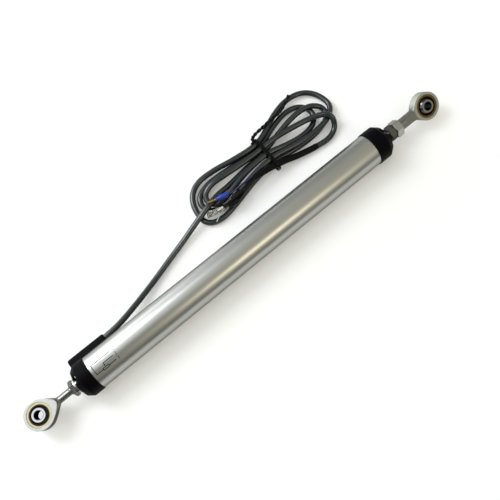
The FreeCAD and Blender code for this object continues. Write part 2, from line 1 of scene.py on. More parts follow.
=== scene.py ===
# %% [markdown]
# # A linear position sensor
# The sensor is an aluminium tube with a sliding rod inside. A black cap closes each end, a rod end with
# a steel ball sits at both sides, and a grey cable leaves the rear cap and lies beside the tube in a
# tied hank. The rigid pieces come from the CAD model. This lesson gives them their finishes, and makes
# what CAD keeps plain: the turns of the cable, its free end, the tie and a printed symbol.

# %% Load the frame
import json
import math
import random

import bmesh
import bpy
from mathutils import Matrix, Vector

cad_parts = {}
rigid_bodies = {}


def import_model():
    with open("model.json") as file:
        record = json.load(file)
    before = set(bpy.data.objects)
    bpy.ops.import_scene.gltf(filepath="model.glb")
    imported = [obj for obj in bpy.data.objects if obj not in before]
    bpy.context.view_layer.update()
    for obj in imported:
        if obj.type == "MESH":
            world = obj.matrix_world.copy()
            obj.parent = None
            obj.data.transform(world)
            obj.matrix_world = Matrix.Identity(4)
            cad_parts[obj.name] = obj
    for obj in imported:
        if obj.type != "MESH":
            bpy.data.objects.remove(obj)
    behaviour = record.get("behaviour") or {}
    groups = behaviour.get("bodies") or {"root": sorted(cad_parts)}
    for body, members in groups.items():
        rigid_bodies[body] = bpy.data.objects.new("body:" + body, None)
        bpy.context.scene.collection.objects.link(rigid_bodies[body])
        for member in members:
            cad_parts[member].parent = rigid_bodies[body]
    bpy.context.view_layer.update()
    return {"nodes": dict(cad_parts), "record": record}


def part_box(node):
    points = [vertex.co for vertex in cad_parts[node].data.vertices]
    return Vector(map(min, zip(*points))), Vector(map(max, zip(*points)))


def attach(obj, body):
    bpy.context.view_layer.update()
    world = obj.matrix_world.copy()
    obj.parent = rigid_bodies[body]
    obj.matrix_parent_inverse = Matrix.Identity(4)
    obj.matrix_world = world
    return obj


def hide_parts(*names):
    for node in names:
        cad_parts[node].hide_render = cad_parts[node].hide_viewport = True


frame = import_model()
nodes = frame["nodes"]

# %% [markdown]
# The photograph looks steeply down on the sensor. The camera is built from where it stands, what it
# looks at, and how the tube's axis leans in the picture. Three vectors give the camera's turn: it looks
# along its own -Z, its X runs to the right of the picture and its Y up.

# %% Camera
MM = 0.001
SENSOR_WIDTH = 36.0
PHOTO_SIZE = 500.0
FOCAL_PIXELS = 641.0
TARGET = Vector((172.3, -1.9, 0.0)) * MM
LEAN_TO_REAR = math.radians(8.0)
LEAN_TO_SIDE = math.radians(12.0)
DISTANCE = 434.0 * MM
AXIS_IN_PICTURE = (0.7781, 0.6281)

to_camera = Vector((-math.sin(LEAN_TO_REAR), -math.sin(LEAN_TO_SIDE) * math.cos(LEAN_TO_REAR),
                    math.cos(LEAN_TO_SIDE) * math.cos(LEAN_TO_REAR)))
along_tube = (Vector((1, 0, 0)) - to_camera * to_camera.x).normalized()
across_tube = to_camera.cross(along_tube)
picture_right = AXIS_IN_PICTURE[0] * along_tube - AXIS_IN_PICTURE[1] * across_tube
picture_up = AXIS_IN_PICTURE[1] * along_tube + AXIS_IN_PICTURE[0] * across_tube

camera_data = bpy.data.cameras.new("photo_camera")
camera_data.sensor_width = SENSOR_WIDTH
camera_data.lens = FOCAL_PIXELS * SENSOR_WIDTH / PHOTO_SIZE
camera = bpy.data.objects.new("photo_camera", camera_data)
bpy.context.scene.collection.objects.link(camera)
turn = Matrix((picture_right, picture_up, to_camera)).transposed().to_4x4()
camera.matrix_world = Matrix.Translation(TARGET + to_camera * DISTANCE) @ turn
bpy.context.scene.camera = camera
print("camera lens", round(camera_data.lens, 2), "at", [round(v, 3) for v in camera.location])

# %% [markdown]
# A cable is one smooth line with a round section, which is what a NURBS curve with a bevel gives. Its
# control points are the points of the route: straight out of the boss, down to the floor, and then six
# turns round the hank. All turns are pressed together at the tie, so each pass through the waist has a
# place there, and each lobe has a tip. Sizes are in millimetres, and heights in the hank are measured
# from the floor.

# %% Places along the cable
FLOOR = -12.5
CABLE_R = 2.1
BOSS_ANGLE = math.radians(-12.6)
BOSS_AXIS_R = 14.5
WAIST_X = 228.5
boss_y = BOSS_AXIS_R * math.cos(BOSS_ANGLE)
boss_z = BOSS_AXIS_R * math.sin(BOSS_ANGLE)

lead_route = [(46.0, boss_y, boss_z), (68.0, boss_y, boss_z), (89.0, 19.4, -6.6), (108.0, 25.0, -9.6),
              (126.0, 30.4, -10.0), (142.0, 34.6, -9.2), (153.0, 37.6, -7.2), (161.5, 39.9, -6.1)]
# A pass: its place and height at the waist, then for each lobe its sideways bulge and resting height.
PASSES = {
    "lead": (49.4, 3.2, None, (16.0, 7.8)),
    "floor": (39.6, 3.2, (-26.0, 2.1), (-10.0, 2.1)),
    "outer": (55.8, 6.7, (34.0, 2.1), (33.6, 2.1)),
    "lower": (42.0, 6.9, (-21.0, 2.1), (-14.5, 6.6)),
    "under": (54.0, 3.2, (15.0, 2.1), (21.0, 2.1)),
    "middle": (46.4, 6.7, (-23.0, 5.2), (-13.5, 2.3)),
    "last": (51.6, 6.7, (14.5, 6.2), None),
}
# A lobe's tip: the pass that comes to it, its place, how pointed its sides are, and the pass that
# leaves it.
TIPS = [("lead", (283.4, 47.0, 2.1), 1, "floor"), ("floor", (161.2, 40.0, 2.1), 2, "outer"),
        ("outer", (288.9, 50.0, 3.4), 1, "lower"), ("lower", (167.6, 46.6, 2.1), 2, "under"),
        ("under", (275.2, 52.0, 2.1), 1, "middle"), ("middle", (172.8, 47.2, 2.6), 3, "last")]
# The way into the hank, the way out of it, and the end of the cable that carries the sleeve.
INSIDE = [(171.5, 42.2, 8.0), (180.5, 45.0, 6.2), (190.0, 46.2, 2.6), (200.0, 47.3, 2.1),
          (213.0, 48.8, 2.2)]
ENDING = [(238.0, 51.6, 8.0), (248.0, 50.7, 7.4), (258.0, 49.2, 7.0), (267.0, 47.4, 7.2),
          (274.6, 44.6, 8.2), (279.6, 41.2, 9.8), (281.6, 37.0, 8.2), (280.4, 32.6, 4.0),
          (276.4, 29.4, 2.1), (269.4, 27.6, 2.1)]
SLEEVE = [(260.0, 28.8, 2.4), (246.0, 31.4, 3.4), (233.0, 34.4, 6.2), (220.0, 36.4, 8.8),
          (207.0, 37.0, 10.6)]
print("passes", len(PASSES), "tips", len(TIPS))

# %% [markdown]
# Drawing each turn by hand would take hundreds of points. One formula gives a side of a lobe between its
# tip and the waist instead: a quarter of an ellipse that also bulges sideways. The height stays at rest
# along the lobe, and rises or falls only near the tip and near the tie.

# %% Route of the cable
TO_TIP = (90, 72, 54, 36, 18)
FROM_TIP = (0, 18, 36, 54, 72)
TIP_FADE = 8


def side_point(name, tip, power, degrees):
    """A point on one side of a lobe: 0 degrees is its tip and 90 degrees is the waist."""
    waist_y, waist_h, left, right = PASSES[name]
    bulge, rest_h = left if tip[0] < WAIST_X else right
    c = math.cos(math.radians(degrees))
    s = math.sin(math.radians(degrees))
    x = WAIST_X + (tip[0] - WAIST_X) * c
    y = tip[1] + s * (waist_y - tip[1] + bulge * c ** power)
    fall = (1 - c) ** 2 * (1 + 2 * c)
    h = rest_h + (waist_h - rest_h) * fall + (tip[2] - rest_h) * c ** TIP_FADE
    return (x, y, h)


def above_floor(place):
    """A point whose height is measured from the floor."""
    x, y, h = place
    return Vector((x, y, FLOOR + h))


turns = list(INSIDE)
for coming, tip, power, leaving in TIPS:
    turns += [side_point(coming, tip, power, degrees) for degrees in TO_TIP]
    turns += [side_point(leaving, tip, power, degrees) for degrees in FROM_TIP]
turns.append((WAIST_X, PASSES["last"][0], PASSES["last"][1]))
cable_route = [Vector(place) for place in lead_route]
cable_route += [above_floor(place) for place in turns + ENDING + SLEEVE]
print("cable route points", len(cable_route))

# %% [markdown]
# A helper makes a curve object from such points. The order and the end setting come after the points,
# because a spline without points can't keep them. The bevel is one metre and each point's own radius
# makes it thin, since Blender counts that radius into the size of the object. Before the bevel is set,
# the smooth line is read back for whatever lies along it.

# %% Smooth tubes
ROUND_STEPS = 4
scene_objects = bpy.context.scene.collection.objects


def smooth_tube(name, routes, radius, steps=8):
    """A curve object with one NURBS spline for each route in millimetres, and its smooth line."""
    data = bpy.data.curves.new(name, "CURVE")
    data.dimensions = "3D"
    data.resolution_u = steps
    data.bevel_resolution = ROUND_STEPS
    data.use_fill_caps = True
    for route in routes:
        spline = data.splines.new("NURBS")
        spline.points.add(len(route) - 1)
        for point, place in zip(spline.points, route):
            point.co = (place[0] * MM, place[1] * MM, place[2] * MM, 1.0)
            point.radius = radius * MM
        spline.order_u = 3
        spline.use_endpoint_u = True
    piece = bpy.data.objects.new(name, data)
    scene_objects.link(piece)
    line = bpy.data.meshes.new_from_object(piece)
    points = [vertex.co / MM for vertex in line.vertices]
    bpy.data.meshes.remove(line)
    data.bevel_depth = 1.0
    return piece, points


def length_of(points):
    return sum((b - a).length for a, b in zip(points[:-1], points[1:]))


cable, cable_line = smooth_tube("cable", [cable_route], CABLE_R)
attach(cable, "housing")
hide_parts("cable_lead", "cable_hank")

# %% [markdown]
# A black heat-shrunk sleeve closes the jacket where it was cut back. It follows the last part of the
# cable's own line, a little thicker than the cable, and its two edges are drawn in onto the jacket, as
# those of a shrunk sleeve are.

# %% Sleeve on the end of the cable
SLEEVE_R = 2.35
SLEEVE_EDGE = 0.03
SLEEVE_LENGTH = 55.0


def last_part(points, length):
    """The last points of a line, as far back from its end as the length says."""
    kept = [points[-1]]
    run = 0.0
    for point in reversed(points[:-1]):
        run += (kept[-1] - point).length
        if run > length:
            break
        kept.append(point)
    return kept[::-1]


sleeve_line = last_part(cable_line, SLEEVE_LENGTH)
sleeve, sleeve_points = smooth_tube("end_sleeve", [sleeve_line], SLEEVE_R, steps=2)
for i in (0, -1):
    sleeve.data.splines[0].points[i].radius = (CABLE_R + SLEEVE_EDGE) * MM
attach(sleeve, "housing")
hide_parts("cable_end_sleeve")
print("sleeve length", round(length_of(sleeve_points), 1), "mm")

# %% [markdown]
# Three cores come out of the sleeve side by side. Each starts along the sleeve's own direction, leans to
# its ferrule and ends just inside it. They are separate pieces, because each core has its own colour.

# %% Cores
CORE_R = 0.75
CORE_SPREAD = 1.05
CORE_RUN = 5.0
CORE_STRAIGHT = 3.0
CORE_INSIDE = 0.5
sleeve_end = Vector(cable_route[-1])
out_of_sleeve = (sleeve_end - Vector(cable_route[-2])).normalized()
beside = out_of_sleeve.cross(Vector((0, 0, 1))).normalized()
above = beside.cross(out_of_sleeve)
# A core: its colour, its place in the sleeve, where its ferrule starts, the ferrule's slope and the
# lengths of collar and pin.
CORES = [("blue", (1, 1), (186.6, 39.2, 10.0), 0.30, 9.2, 6.8),
         ("black", (-1, -1), (190.0, 32.4, 7.9), 0.05, 8.6, 7.0),
         ("brown", (1, -1), (195.0, 35.7, 8.4), 0.02, 8.6, 7.0)]


def core_start(place):
    start = sleeve_end + CORE_SPREAD * (place[0] * beside + place[1] * above)
    return [start - out_of_sleeve, start + out_of_sleeve * CORE_RUN]


def ferrule_aim(slope):
    return Vector((-1.0, slope, 0.0)).normalized()


cord_pieces = [sleeve]
core_pieces = {}
for colour, place, end, slope, barrel, pin in CORES:
    into = above_floor(end)
    aim = ferrule_aim(slope)
    route = core_start(place) + [into - CORE_STRAIGHT * aim, into + CORE_INSIDE * aim]
    core = smooth_tube(colour + "_core", [route], CORE_R)[0]
    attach(core, "housing")
    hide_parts("core_wires")
    core_pieces[colour] = core
    cord_pieces.append(core)
print("cores", sorted(core_pieces))

# %% [markdown]
# Ferrules are turned parts. A turned part could be stacked from cylinders and cones, but spinning its
# half section round an axis gives all of it at once. The spin leaves doubled points at the seam, so they
# are merged, and the normals are worked out again after that.

# %% Turned pieces
SPIN_STEPS = 24
SEAM = 1e-4
TURNED_SHARP = math.radians(35)


def mesh_piece(name, mesh, sharp=None):
    """An object made of a bmesh, in smooth shading up to an angle where one is given."""
    data = bpy.data.meshes.new(name)
    mesh.to_mesh(data)
    mesh.free()
    if sharp:
        data.shade_smooth()
        data.set_sharp_from_angle(angle=sharp)
    piece = bpy.data.objects.new(name, data)
    scene_objects.link(piece)
    return piece


def turned_piece(name, section, start, aim):
    """Spins a section of (distance along, radius) in mm, and puts it at start along aim."""
    mesh = bmesh.new()
    corners = [mesh.verts.new((radius, 0.0, along)) for along, radius in section]
    for a, b in zip(corners[:-1], corners[1:]):
        mesh.edges.new((a, b))
    bmesh.ops.spin(mesh, geom=mesh.verts[:] + mesh.edges[:], cent=(0, 0, 0), axis=(0, 0, 1),
                   angle=2 * math.pi, steps=SPIN_STEPS, use_merge=True)
    bmesh.ops.remove_doubles(mesh, verts=mesh.verts[:], dist=SEAM)
    bmesh.ops.recalc_face_normals(mesh, faces=mesh.faces[:])
    aimed = Vector((0, 0, 1)).rotation_difference(aim).to_matrix().to_4x4()
    place = Matrix.Scale(MM, 4) @ Matrix.Translation(start) @ aimed
    bmesh.ops.transform(mesh, matrix=place, verts=mesh.verts[:])
    piece = mesh_piece(name, mesh, TURNED_SHARP)
    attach(piece, "housing")
    return piece


print("a turned piece has", SPIN_STEPS, "steps round")

# %% [markdown]
# A ferrule is a plastic collar that narrows to a metal pin. The collar has a rounded lip and a slight
# draft from its mould, and the crimping pliers have pressed rings into the pin.

# %% Ferrules and pins
FERRULE_R = 2.2
FERRULE_PIN_R = 0.85
LIP, LIP_ROUND, DRAFT = 0.3, 0.25, 0.05
CONE_FROM, CONE_TO = 0.66, 0.9
NECK, MOUTH, GRIP = 0.45, 0.35, 0.1
CRIMPS = 3
CRIMP_OUTER, CRIMP_INNER, CRIMP_DEPTH = 0.7, 0.2, 0.18
PIN_HIDDEN, PIN_ROUND = 0.5, 0.15
pressed_r = FERRULE_PIN_R - CRIMP_DEPTH
ferrules = {}
ferrule_pins = {}
for colour, place, end, slope, barrel, pin in CORES:
    start = above_floor(end)
    aim = ferrule_aim(slope)
    collar = [(LIP, CORE_R), (0.0, FERRULE_R - LIP_ROUND), (LIP, FERRULE_R),
              (barrel * CONE_FROM, FERRULE_R - DRAFT), (barrel * CONE_TO, FERRULE_PIN_R + NECK),
              (barrel, FERRULE_PIN_R + MOUTH), (barrel, FERRULE_PIN_R - GRIP)]
    ferrules[colour] = turned_piece(colour + "_ferrule", collar, start, aim)
    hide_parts("core_ferrules")
    crimped = [(barrel - PIN_HIDDEN, FERRULE_PIN_R)]
    for k in range(CRIMPS):
        middle = barrel + pin * (k + 1.0) / (CRIMPS + 1.0)
        crimped += [(middle - CRIMP_OUTER, FERRULE_PIN_R), (middle - CRIMP_INNER, pressed_r),
                    (middle + CRIMP_INNER, pressed_r), (middle + CRIMP_OUTER, FERRULE_PIN_R)]
    crimped += [(barrel + pin - PIN_ROUND, FERRULE_PIN_R), (barrel + pin, FERRULE_PIN_R - PIN_ROUND),
                (barrel + pin, 0.0)]
    ferrule_pins[colour] = turned_piece(colour + "_ferrule_pin", crimped, start, aim)
    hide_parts("ferrule_pins")
    cord_pieces += [ferrules[colour], ferrule_pins[colour]]
print("ferrules", len(ferrules), "pins", len(ferrule_pins))

# %% [markdown]
# The cable's shield was gathered into a pigtail. Most of it is covered by thin black tubing, and at the
# end the bare tinned strands show, loosely twisted into a flat tuft, with one stray wire. A strand is a
# line that winds round the pigtail's own line, so a helper works out such a line, and the twisted end of
# the tie uses it too. Real strands are thinner and more, and here fewer and thicker ones fill the tuft.

# %% Shield pigtail
PIGTAIL_R = 0.85
PIGTAIL = [(190.0, 33.9, 11.0), (180.0, 33.9, 10.3), (173.0, 35.4, 8.0), (166.0, 37.8, 6.9)]
STRANDS = 36
STRAND_R = 0.17
STRAND_TURNS, LEAST_TURN = 0.8, 0.6
BARE_LENGTH = 13.5
COVERED_OVERLAP = 2
TUFT_IN, TUFT_OUT, LEAST_OUT = 0.7, 2.9, 0.45
TUFT_FLAT = 0.45
STRAY_R = 0.32
STRAY_WIRE = [(178.4, 33.6, 9.4), (175.4, 32.4, 8.6), (171.6, 31.3, 7.0), (168.4, 30.0, 6.2)]


def wound(line, phase, winds, start_r, end_r, flat=1.0):
    """A line that winds round another, from one radius to another; flat squeezes it in height."""
    route = []
    last = len(line) - 1
    for i, point in enumerate(line):
        share = i / last
        run = (line[min(i + 1, last)] - line[max(i - 1, 0)]).normalized()
        side = run.cross(Vector((0, 0, 1))).normalized()
        up = side.cross(run)
        angle = 2 * math.pi * (phase + winds * share)
        radius = start_r + (end_r - start_r) * share
        route.append(point + radius * (math.cos(angle) * side + flat * math.sin(angle) * up))
    return route


pigtail_route = core_start((-1, 1)) + [above_floor(place) for place in PIGTAIL]
guide, pigtail_line = smooth_tube("pigtail_guide", [pigtail_route], PIGTAIL_R, steps=12)
bpy.data.objects.remove(guide)
bare_line = last_part(pigtail_line, BARE_LENGTH)
covered = pigtail_line[:len(pigtail_line) - len(bare_line) + COVERED_OVERLAP]
pigtail = smooth_tube("shield_tubing", [covered], PIGTAIL_R, steps=2)[0]
chance = random.Random(4)
strand_routes = []
for k in range(STRANDS):
    way = (1.0 if k % 2 else -1.0) * chance.uniform(LEAST_TURN, 1.0)
    reach = TUFT_OUT * chance.uniform(LEAST_OUT, 1.0)
    phase = chance.random()
    strand_routes.append(wound(bare_line, phase, way * STRAND_TURNS, TUFT_IN, reach, TUFT_FLAT))
strand_routes.append([above_floor(place) for place in STRAY_WIRE])
strands = smooth_tube("shield_strands", strand_routes, STRAND_R, steps=3)[0]
for point in strands.data.splines[-1].points:
    point.radius = STRAY_R * MM
for piece in (pigtail, strands):
    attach(piece, "housing")
    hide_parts("shield_pigtail")
    cord_pieces.append(piece)
print("bare strands", STRANDS, "over", round(length_of(bare_line), 1), "mm")

# %% [markdown]
# The tie is a thin wire in a flat plastic coat, wound round the waist of the hank. The band is a box
# whose four long edges are rounded by a bevel. Its end faces are deleted, and the wall gets its
# thickness from solidify.

# %% Band of the tie
TIE_X0, TIE_X1 = 226.5, 228.5
TIE_Y0, TIE_Y1 = 32.4, 57.9
TIE_Z0, TIE_Z1 = FLOOR + 1.05, FLOOR + 10.3
TIE_T = 0.9
TIE_CORNER = 4.0
CORNER_STEPS = 8
TIE_SHARP = math.radians(40)

mesh = bmesh.new()
bmesh.ops.create_cube(mesh, size=1.0)
size = Vector((TIE_X1 - TIE_X0, TIE_Y1 - TIE_Y0, TIE_Z1 - TIE_Z0))
middle = Vector((TIE_X0 + TIE_X1, TIE_Y0 + TIE_Y1, TIE_Z0 + TIE_Z1)) / 2.0
bmesh.ops.scale(mesh, vec=size, verts=mesh.verts[:])
bmesh.ops.translate(mesh, vec=middle, verts=mesh.verts[:])
end_faces = [face for face in mesh.faces if abs(face.normal.x) > 0.5]
bmesh.ops.delete(mesh, geom=end_faces, context="FACES_ONLY")
long_edges = [edge for edge in mesh.edges
              if abs(edge.verts[0].co.x - edge.verts[1].co.x) > size.x / 2.0]
bmesh.ops.bevel(mesh, geom=long_edges, offset=TIE_CORNER, offset_type="OFFSET", affect="EDGES",
                segments=CORNER_STEPS, profile=0.5, material=-1)
bmesh.ops.recalc_face_normals(mesh, faces=mesh.faces[:])
bmesh.ops.solidify(mesh, geom=mesh.faces[:], thickness=-TIE_T)
bmesh.ops.scale(mesh, vec=(MM, MM, MM), verts=mesh.verts[:])
tie_band = mesh_piece("tie_band", mesh, TIE_SHARP)
print("tie band", len(tie_band.data.polygons), "faces")

# %% [markdown]
# The two ends of the tie are twisted together and lie beside the hank. They are two wires that wind
# round one line half a turn apart, close enough to touch, and a short stub stands at the knot.

# %% Twisted end of the tie
TAIL_WIRE_R = 0.75
TAIL_TWISTS = 7
TAIL_CLOSE = 0.8
TAIL_PHASES = (0.0, 0.5)
TAIL_ROUTE = [(227.6, 58.3, 8.4), (224.8, 59.8, 8.6), (228.2, 62.4, 8.8), (237.6, 62.9, 9.2),
              (247.0, 64.2, 8.2), (255.0, 65.0, 6.8), (262.0, 67.6, 5.9), (269.4, 71.4, 5.6)]
KNOT_STUB = [(227.4, 58.2, 8.6), (225.2, 58.7, 9.0), (223.0, 58.3, 8.6)]

tail_route = [above_floor(place) for place in TAIL_ROUTE]
guide, tail_line = smooth_tube("tail_guide", [tail_route], TAIL_WIRE_R, steps=14)
bpy.data.objects.remove(guide)
wind_r = TAIL_CLOSE * TAIL_WIRE_R
tail_routes = [wound(tail_line, phase, TAIL_TWISTS, wind_r, wind_r) for phase in TAIL_PHASES]
tail_routes.append([above_floor(place) for place in KNOT_STUB])
tie_tail = smooth_tube("tie_tail", tail_routes, TAIL_WIRE_R, steps=2)[0]
for piece in (tie_band, tie_tail):
    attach(piece, "housing")
    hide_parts("twist_tie")
    cord_pieces.append(piece)
print("twisted end", round(length_of(tail_line), 1), "mm")

# %% [markdown]
# All the pieces that lie on the cable are made now, and they are gathered in one list.

print("pieces on the cable", len(cord_pieces))

# %% [markdown]
# A plain line symbol is printed near the rear end of the tube: a resistor with a slider, and three wires
# that run off to one side. A print is only a film of ink, so its lines are flat strips. They are drawn
# on a plane first, with X along the tube and Y round it, because straight lines are easy there.

# %% Lines of the printed symbol
STROKE = 0.55
WIRE_X0, WIRE_X1 = 44.8, 60.0
WIRE_SIDE = (1.9, -1.6, -5.0)
RESISTOR_X0, RESISTOR_X1 = 50.0, 54.4
RESISTOR_HALF = 0.65
ARROW, ARROW_HALF, ARROW_GAP = 1.3, 0.6, 0.3

mesh = bmesh.new()


def strip(x0, x1, s0, s1):
    """A flat printed strip between two corners."""
    made = bmesh.ops.create_grid(mesh, x_segments=1, y_segments=1, size=0.5)
    bmesh.ops.scale(mesh, vec=(x1 - x0, s1 - s0, 1.0), verts=made["verts"])
    bmesh.ops.translate(mesh, vec=((x0 + x1) / 2.0, (s0 + s1) / 2.0, 0.0), verts=made["verts"])


half = STROKE / 2.0
top, slider, bottom = WIRE_SIDE
slider_x = (RESISTOR_X0 + RESISTOR_X1) / 2.0
tip_s = bottom + RESISTOR_HALF + ARROW_GAP
strip(WIRE_X0 - half, WIRE_X0 + half, bottom - half, top + half)
strip(WIRE_X0, WIRE_X1, top - half, top + half)
strip(WIRE_X0, RESISTOR_X0, bottom - half, bottom + half)
strip(RESISTOR_X1, WIRE_X1, bottom - half, bottom + half)
strip(slider_x - half, WIRE_X1, slider - half, slider + half)
strip(slider_x - half, slider_x + half, tip_s + ARROW, slider)
for x in (RESISTOR_X0, RESISTOR_X1):
    strip(x - half, x + half, bottom - RESISTOR_HALF, bottom + RESISTOR_HALF)
for s in (bottom - RESISTOR_HALF, bottom + RESISTOR_HALF):
    strip(RESISTOR_X0 - half, RESISTOR_X1 + half, s - half, s + half)
tip = mesh.verts.new((slider_x, tip_s, 0.0))
left = mesh.verts.new((slider_x - ARROW_HALF, tip_s + ARROW, 0.0))
right = mesh.verts.new((slider_x + ARROW_HALF, tip_s + ARROW, 0.0))
mesh.faces.new((tip, right, left))
print("flat symbol", len(mesh.faces), "faces")

# %% [markdown]
# Each wire of the symbol has a number. A text object is turned to a mesh and joined to the strips. The
# font draws its figure one as a bare bar, so the flag at its top is added as one face.

# %% Numbers of the wires
NUMBER_SIZE = 3.2
NUMBER_GAP = 1.2
ONE_FLAG = [(0.7, 1.22), (0.05, 0.78), (0.05, 0.4), (0.7, 0.82)]
number_x = WIRE_X1 + NUMBER_GAP
for number, s in zip("123", WIRE_SIDE):
    words = bpy.data.curves.new("pin_number", "FONT")
    words.body = number
    words.size = NUMBER_SIZE
    words.align_y = "CENTER"
    letter = bpy.data.objects.new("pin_number", words)
    scene_objects.link(letter)
    outline = bpy.data.meshes.new_from_object(letter)
    outline.transform(Matrix.Translation((number_x, s, 0.0)))
    mesh.from_mesh(outline)
    bpy.data.meshes.remove(outline)
    bpy.data.objects.remove(letter)
mesh.faces.new([mesh.verts.new((number_x + x, top + s, 0.0)) for x, s in ONE_FLAG])
print("with numbers", len(mesh.faces), "faces")

# %% [markdown]
# A flat face can't bend, so the drawing is cut along lines that run with the tube. Then each point is
# wrapped round the tube, a hair above its surface, and every face is made to look outwards.

# %% Wrap the print round the tube
PRINT_LIFT = 0.04
BEND_STEP = 0.45
CUT_MERGE = 1e-5
low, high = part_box("housing_tube")
tube_r = (high[1] - low[1]) / 2.0 / MM
print_r = (tube_r + PRINT_LIFT) * MM
sides = [vertex.co.y for vertex in mesh.verts]
for k in range(math.floor(min(sides) / BEND_STEP), math.ceil(max(sides) / BEND_STEP) + 1):
    bmesh.ops.bisect_plane(mesh, geom=mesh.verts[:] + mesh.edges[:] + mesh.faces[:], dist=CUT_MERGE,
                           plane_co=(0.0, k * BEND_STEP, 0.0), plane_no=(0.0, 1.0, 0.0))
for vertex in mesh.verts:
    angle = vertex.co.y / tube_r
    vertex.co = (vertex.co.x * MM, print_r * math.sin(angle), print_r * math.cos(angle))
bmesh.ops.recalc_face_normals(mesh, faces=mesh.faces[:])
for face in mesh.faces:
    if face.normal.z < 0:
        face.normal_flip()
printed_symbol = mesh_piece("printed_symbol", mesh)
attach(printed_symbol, "housing")
print("printed symbol", len(printed_symbol.data.polygons), "faces")

# %% [markdown]
# Colours are chosen as the eye sees them, in sRGB hex. Blender's sockets take linear light, so one
# function turns them over. One more small function adds a node with its settings and links.

# %% Colour and node helpers
def linear(hex_colour):
    channels = [int(hex_colour[i:i + 2], 16) / 255.0 for i in (1, 3, 5)]
    lit = [c / 12.92 if c <= 0.04045 else ((c + 0.055) / 1.055) ** 2.4 for c in channels]
    return (lit[0], lit[1], lit[2], 1.0)


def add(tree, kind, values=None, links=None, **settings):
    node = tree.nodes.new(kind)
    for name, value in settings.items():
        setattr(node, name, value)
    for socket, value in (values or {}).items():
        node.inputs[socket].default_value = value
    for socket, source in (links or {}).items():
        tree.links.new(source, node.inputs[socket])
    return node


print("steel grey in linear light", [round(v, 3) for v in linear("#bfc2bd")])

# %% [markdown]
# Most finishes here share one recipe. A broad noise shifts the colour between two close tones, a fine
# noise moves the roughness, and the same fine noise gives a shallow bump. The grain is given in
# millimetres, and a stretch makes it run along the tube, as on drawn metal. Real drawing lines, grit and
# plating grain are only hundredths of a millimetre and would not show in a picture of the whole sensor,
# so every grain below is drawn about ten times coarser. Machined and moulded edges are never quite
# sharp, so a Bevel node rounds the shading there by a fraction of a millimetre.

# %% Recipe for a finish
def finish(name, tones, metallic, roughness, grain, depth, stretch=(1, 1, 1), patch=9.0, edge=0.0,
           **sockets):
    """A material with two tones in patches, a range of roughness and a grain of a size in mm."""
    material = bpy.data.materials.new(name)
    material.use_nodes = True
    tree = material.node_tree
    shader = tree.nodes["Principled BSDF"]
    shader.inputs["Metallic"].default_value = metallic
    for socket, value in sockets.items():
        shader.inputs[socket.replace("_", " ")].default_value = value
    place = add(tree, "ShaderNodeTexCoord")
    patches = add(tree, "ShaderNodeTexNoise", {"Scale": 1.0 / (patch * MM), "Detail": 3.0},
                  {"Vector": place.outputs["Object"]})
    tone = add(tree, "ShaderNodeMix", {6: linear(tones[0]), 7: linear(tones[1])},
               {0: patches.outputs["Fac"]}, data_type="RGBA")
    tree.links.new(tone.outputs[2], shader.inputs["Base Color"])
    drawn = add(tree, "ShaderNodeMapping", {"Scale": stretch}, {"Vector": place.outputs["Object"]})
    fine = add(tree, "ShaderNodeTexNoise", {"Scale": 1.0 / (grain * MM), "Detail": 4.0},
               {"Vector": drawn.outputs["Vector"]})
    spread = add(tree, "ShaderNodeMapRange", {"To Min": roughness[0], "To Max": roughness[1]},
                 {"Value": fine.outputs["Fac"]})
    tree.links.new(spread.outputs["Result"], shader.inputs["Roughness"])
    bump = add(tree, "ShaderNodeBump", {"Distance": depth * MM, "Strength": 1.0},
               {"Height": fine.outputs["Fac"]})
    if edge:
        rounded = add(tree, "ShaderNodeBevel", {"Radius": edge * MM}, samples=6)
        tree.links.new(rounded.outputs["Normal"], bump.inputs["Normal"])
    tree.links.new(bump.outputs["Normal"], shader.inputs["Normal"])
    return material


# Screen-printed ink: flat and nearly black.
ink = finish("black_print_ink", ("#141414", "#1c1c1c"), 0.0, (0.5, 0.62), 0.3, 0.002)
print("first finish", ink.name, "with", len(ink.node_tree.nodes), "nodes")

# %% [markdown]
# The finishes start from what each piece is made of, and from how its surface was made. The metals come
# first. A plated or anodised metal reflects less at a glancing angle than a mirror does, which is what
# the specular tint says. The dictionary uses the names of the CAD model's material slots.

